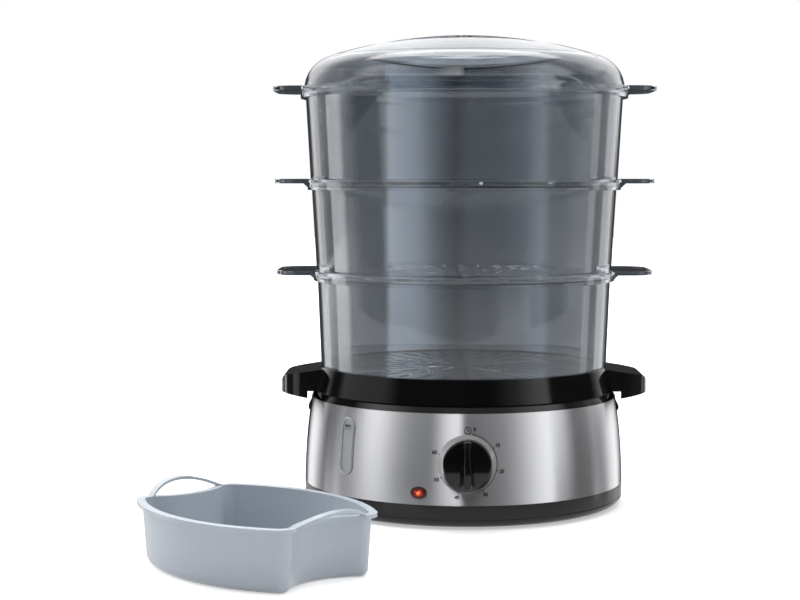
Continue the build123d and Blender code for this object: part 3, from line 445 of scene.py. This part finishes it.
def ring_mesh(center, radius, width, start, end, steps):
    """Flat arc band, angles in degrees clockwise from the top."""
    bm = bmesh.new()
    inner, outer = radius - width / 2, radius + width / 2
    low, high = INK_LIFT - INK_THICKNESS / 2, INK_LIFT + INK_THICKNESS / 2
    rows = []
    for index in range(steps + 1):
        angle = math.radians(start + (end - start) * index / steps)
        row = []
        for reach, lift in ((inner, low), (outer, low), (outer, high), (inner, high)):
            x = center[0] + reach * math.sin(angle)
            y = center[1] + reach * math.cos(angle)
            row.append(bm.verts.new((x, y, lift)))
        rows.append(row)
    for first, second in zip(rows, rows[1:]):
        band_sides(bm, first, second)
    if abs(end - start) >= 360:
        bmesh.ops.remove_doubles(bm, verts=bm.verts, dist=1e-7)
    else:
        bm.faces.new(rows[0][::-1])
        bm.faces.new(rows[-1])
    bmesh.ops.recalc_face_normals(bm, faces=bm.faces)
    return mesh_of("band", bm)


def stroke_mesh(start, end, width):
    """Straight printed stroke between two points of the flat drawing."""
    run = Vector(end) - Vector(start)
    side = Vector((-run.y, run.x)).normalized() * width / 2
    corners = [Vector(start) + side, Vector(start) - side, Vector(end) - side, Vector(end) + side]
    bm = bmesh.new()
    lower = [bm.verts.new((c.x, c.y, INK_LIFT - INK_THICKNESS / 2)) for c in corners]
    upper = [bm.verts.new((c.x, c.y, INK_LIFT + INK_THICKNESS / 2)) for c in corners]
    bm.faces.new(lower[::-1])
    bm.faces.new(upper)
    band_sides(bm, lower, upper)
    return mesh_of("stroke", bm)


def joined(name, parts):
    bm = bmesh.new()
    for part in parts:
        bm.from_mesh(part)
        bpy.data.meshes.remove(part)
    return mesh_of(name, bm)


def polar(angle, reach):
    """Point of the dial's scale."""
    turn = math.radians(angle)
    return (SCALE_CENTER[0] + reach * math.sin(turn), SCALE_CENTER[1] + reach * math.cos(turn))


clock_x, clock_y = CLOCK_CENTER
scale_parts = [ring_mesh(SCALE_CENTER, SCALE_RADIUS, SCALE_LINE, SCALE_START, MINUTES[-1][1], steps=96)]
for minute, angle in MINUTES:
    scale_parts.append(stroke_mesh(polar(angle, TICK_REACH[0]), polar(angle, TICK_REACH[1]), TICK_WIDTH))
    scale_parts.append(text_mesh(str(minute), NUMERAL_SIZE, polar(angle, NUMERAL_REACH)))
scale_parts.append(ring_mesh(CLOCK_CENTER, CLOCK_RADIUS, CLOCK_LINE, 0, 360, steps=48))
scale_parts.append(stroke_mesh(CLOCK_CENTER, (clock_x, clock_y + LONG_HAND), CLOCK_LINE))
scale_parts.append(stroke_mesh(CLOCK_CENTER, (clock_x + SHORT_HAND, clock_y), CLOCK_LINE))
dial_scale = joined("dial_scale", scale_parts)
wrap_on_flank(dial_scale, DIAL_HEIGHT)
printed("dial_scale", dial_scale)

left_end, right_end = ((side * LEVEL_LINE_REACH, LEVEL_LINE_HEIGHT) for side in (-1, 1))
level_parts = [
    text_mesh("MAX", LEVEL_WORD_SIZE, (0, LEVEL_WORD_HEIGHT)),
    stroke_mesh(left_end, right_end, LEVEL_LINE_WIDTH),
]
level_mark = joined("water_level_mark", level_parts)
level_mark.transform(flank_matrix(GAUGE_AZIMUTH, GAUGE_HEIGHT) @ Matrix.Translation((0, 0, GAUGE_FACE)))
printed("water_level_mark", level_mark)

# ------------------------------------------------------------------ floor and backdrop, in metres
FLOOR_HALF_SIZE = 6.0
CARD_PLACE = (0.0, 0.30, 0.267)
CARD_HALF_WIDTH = 0.34
CARD_HALF_HEIGHT = 0.22
CARD_TINT = (0.86, 1.0, 1.18)
# the card's ends and top fade into the white paper behind it, between two distances from its middle
CARD_END_FADE = (0.25, 0.33)
CARD_TOP_FADE = (0.15, 0.215)
# tones of the slate card by distance from its middle, as seen through the clear baskets
CARD_TONES = (
    (-0.34, 0.05),
    (0.34, 0.05),
    (-0.18, 0.05),
    (-0.15, 0.06),
    (-0.115, 0.06),
    (-0.095, 0.065),
    (-0.074, 0.07),
    (-0.069, 0.25),
    (-0.045, 0.21),
    (-0.028, 0.14),
    (-0.012, 0.06),
    (0.0, 0.03),
    (0.012, 0.06),
    (0.045, 0.06),
    (0.065, 0.09),
    (0.088, 0.16),
    (0.098, 0.07),
    (0.13, 0.07),
    (0.18, 0.05),
)


def floor_paper():
    """White paper that the camera sees whiter the farther it lies, with the object's shadow on it."""
    made = Material("studio_floor")
    away = made.vector("LENGTH", made.place())
    camera_sees = made.node("LightPath").outputs["Is Camera Ray"]
    return made.set(
        Base_Color=rgb(0.93, 0.93, 0.93),
        Roughness=0.6,
        Specular_IOR_Level=0.0,
        Emission_Color=WHITE,
        Emission_Strength=made.math("MULTIPLY", camera_sees, made.spread(away, 0.42, 0.8, 0.3, 1.1)),
    )


def slate_card():
    made = Material("slate_backdrop")
    axes = made.axes(made.place())
    across = made.spread(axes["X"], 0.0, 1.0, -CARD_HALF_WIDTH, CARD_HALF_WIDTH)
    steps = [(place / CARD_HALF_WIDTH / 2 + 0.5, level) for place, level in CARD_TONES]
    slate = made.tones(across, steps, CARD_TINT)
    ends = made.spread(made.math("ABSOLUTE", axes["X"], 0.0), 0.0, 1.0, *CARD_END_FADE)
    top = made.spread(axes["Y"], 0.0, 1.0, *CARD_TOP_FADE)
    return made.set(
        Base_Color=BLACK,
        Specular_IOR_Level=0.0,
        Roughness=1.0,
        Emission_Color=made.blend(made.math("MAXIMUM", ends, top), slate, WHITE),
        Emission_Strength=1.0,
    )


def stage_sheet(name, half_width, half_depth, matrix, material):
    bm = bmesh.new()
    bmesh.ops.create_grid(bm, x_segments=8, y_segments=8, size=1.0)
    bm.transform(Matrix.Diagonal((half_width, half_depth, 1.0, 1.0)))
    sheet = bpy.data.objects.new(name, mesh_of(name, bm))
    sheet.matrix_world = matrix
    bpy.context.scene.collection.objects.link(sheet)
    sheet.data.materials.append(material.data)
    return sheet


floor = stage_sheet("studio_floor", FLOOR_HALF_SIZE, FLOOR_HALF_SIZE, Matrix.Identity(4), floor_paper())
floor.visible_glossy = False
upright = Matrix.Translation(CARD_PLACE) @ Matrix.Rotation(math.radians(90), 4, "X")
card = stage_sheet("slate_backdrop", CARD_HALF_WIDTH, CARD_HALF_HEIGHT, upright, slate_card())
card.visible_camera = False
card.visible_diffuse = False
card.visible_glossy = False
card.visible_shadow = False

# ------------------------------------------------------------------ world
# levels round the object by azimuth: 0 is straight in front, 90 to the right, and 180 and -180 behind
# just under the horizon: dark room, with softboxes behind and at each side
LOW_WALLS = (
    (-180, 0.04),
    (180, 0.04),
    (-153, 0.04),
    (-148, 0.85),
    (-135, 0.8),
    (-132, 0.03),
    (-121, 0.03),
    (-118, 2.2),
    (-104, 2.0),
    (-99, 0.1),
    (-62, 0.08),
    (-58, 0.9),
    (-34, 0.7),
    (-26, 0.04),
    (24, 0.04),
    (60, 0.12),
    (104, 0.1),
    (107, 1.2),
    (113, 1.2),
    (116, 0.03),
    (125, 0.03),
    (128, 0.9),
    (144, 0.9),
    (149, 0.04),
)
# over the horizon: a softbox at each side, and between them white paper behind the object
SIDE_WALLS = (
    (-140, 1.0),
    (-122, 0.02),
    (-112, 0.02),
    (-106, 0.4),
    (-66, 0.4),
    (-52, 0.03),
    (22, 0.02),
    (40, 0.25),
    (58, 0.9),
    (66, 1.0),
    (70, 0.04),
    (115, 0.02),
    (140, 1.0),
)
# at eye level that paper has a gap straight behind
EYE_WALLS = ((-180, 0.03), (180, 0.03), (-156, 0.03), (-150, 1.0), (150, 1.0), (156, 0.03)) + SIDE_WALLS
WALLS = ((-180, 1.0), (180, 1.0)) + SIDE_WALLS
# higher up, where the brushed steel looks: the softboxes, a narrow strip and a dark gap by the camera
HIGH_WALLS = (
    (-180, 1.1),
    (180, 1.1),
    (-148, 1.3),
    (-136, 0.4),
    (-128, 0.05),
    (-103, 0.04),
    (-94, 0.65),
    (-84, 1.3),
    (-76, 1.25),
    (-66, 0.85),
    (-46, 0.28),
    (-26, 0.2),
    (-16, 1.1),
    (-5, 1.7),
    (0, 0.02),
    (12, 0.1),
    (34, 0.26),
    (60, 0.9),
    (80, 1.3),
    (88, 0.9),
    (95, 0.1),
    (112, 0.2),
    (124, 1.2),
    (135, 1.3),
)
# overhead: a strong softbox behind the object
TOP_WALLS = ((-180, 4.5), (180, 4.5), (-130, 4.5), (-118, 0.35), (118, 0.35), (130, 4.5))
FLOOR_GLOW = rgb(0.6, 0.6, 0.6)
WALL_TINT = (1.0, 1.0, 1.01)
SHINE_STRENGTH = 1.35
FILL_STRENGTH = 0.75
PAPER_EDGE = 4.0  # how fast the paper seen through clear plastic comes up behind the object

world = bpy.data.worlds.new("studio")
bpy.context.scene.world = world
world.use_nodes = True
world.node_tree.nodes.clear()
studio = Nodes(world.node_tree)
toward = studio.axes(studio.node("TexCoord").outputs["Generated"])
compass = studio.spread(studio.azimuth(toward), 0.0, 1.0, -math.pi, math.pi)


def walls(steps):
    return studio.tones(compass, [(azimuth / 360 + 0.5, level) for azimuth, level in steps], WALL_TINT)


def rising(start, end, below, above):
    """Below gives way to above between two elevations, in degrees."""
    low, high = (math.sin(math.radians(angle)) for angle in (start, end))
    return studio.blend(studio.spread(toward["Z"], 0.0, 1.0, low, high), below, above)


def background(color, strength):
    return studio.node("Background", {"Color": color, "Strength": strength}).outputs["Background"]


high_walls = walls(HIGH_WALLS)
around = rising(-11, -8, FLOOR_GLOW, walls(LOW_WALLS))
around = rising(-1, 2, around, walls(EYE_WALLS))
around = rising(8, 11, around, walls(WALLS))
around = rising(22, 27, around, high_walls)
around = rising(48, 54, around, walls(TOP_WALLS))

# the white paper stands behind the object, for the camera and for what is seen through clear plastic
ray = studio.node("LightPath").outputs
behind = studio.math("MULTIPLY", toward["Y"], PAPER_EDGE, clamp=True)
through = studio.math("MULTIPLY", ray["Is Transmission Ray"], behind, clamp=True)
seen = studio.math("MAXIMUM", ray["Is Camera Ray"], through, clamp=True)
shine = background(around, SHINE_STRENGTH)
fill = background(high_walls, FILL_STRENGTH)
studio_light = studio.mixed(ray["Is Diffuse Ray"], shine, fill)
studio.node("OutputWorld", {"Surface": studio.mixed(seen, studio_light, background(WHITE, 1.0))})

# ------------------------------------------------------------------ lamps
# place and aim in metres, width, height and power in watts
LAMPS = {
    "top_softbox": ((0.0, -0.2, 1.9), (0, 0, 0.1), 1.6, 1.6, 14.0),
    "left_softbox": ((-1.7, 0.9, 0.9), (-0.1, -0.2, 0.05), 1.2, 1.4, 26.0),
    "right_softbox": ((1.7, -0.6, 0.8), (0, 0, 0.2), 1.0, 1.4, 5.0),
}
for name, (place, aim, width, height, power) in LAMPS.items():
    data = bpy.data.lights.new(name, "AREA")
    data.shape = "RECTANGLE"
    data.size = width
    data.size_y = height
    data.energy = power
    lamp = bpy.data.objects.new(name, data)
    lamp.location = place
    lamp.rotation_euler = (Vector(aim) - Vector(place)).to_track_quat("-Z", "Y").to_euler()
    lamp.visible_camera = False
    lamp.visible_glossy = False
    lamp.visible_transmission = False
    bpy.context.scene.collection.objects.link(lamp)

bpy.context.scene.view_settings.view_transform = "Standard"
